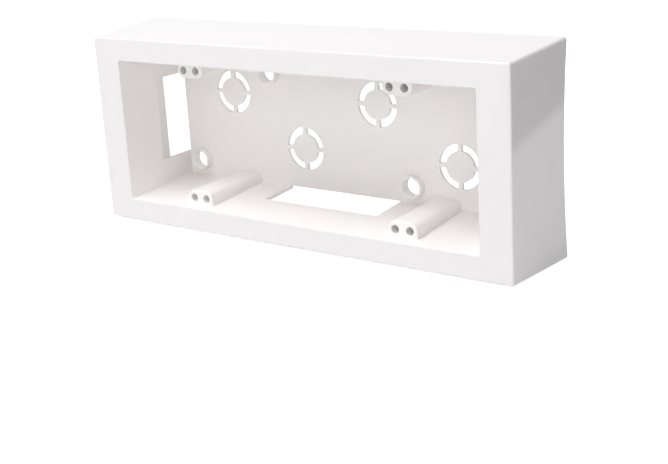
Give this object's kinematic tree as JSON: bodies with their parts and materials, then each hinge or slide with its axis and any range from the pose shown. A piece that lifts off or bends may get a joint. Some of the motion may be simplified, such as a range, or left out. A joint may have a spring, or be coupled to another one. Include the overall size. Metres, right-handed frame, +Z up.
{
  "type": "surface switch box",
  "caption": "Moulded wall box for surface wiring: an open-fronted tray inside a flared skirt, with screw pillars for a switch plate, conduit knockouts and cable cut-outs.",
  "frame": {"origin": "middle of the face that lies on the wall", "axes": "+X along the box, +Y into the wall, +Z up; the open front faces -Y"},
  "size_m": [0.2271, 0.0465, 0.0958],
  "materials": {
    "white_plastic": "moulded white plastic with a soft gloss"
  },
  "bodies": {
    "root": {"switch_box": "white_plastic"}
  },
  "joints": []
}
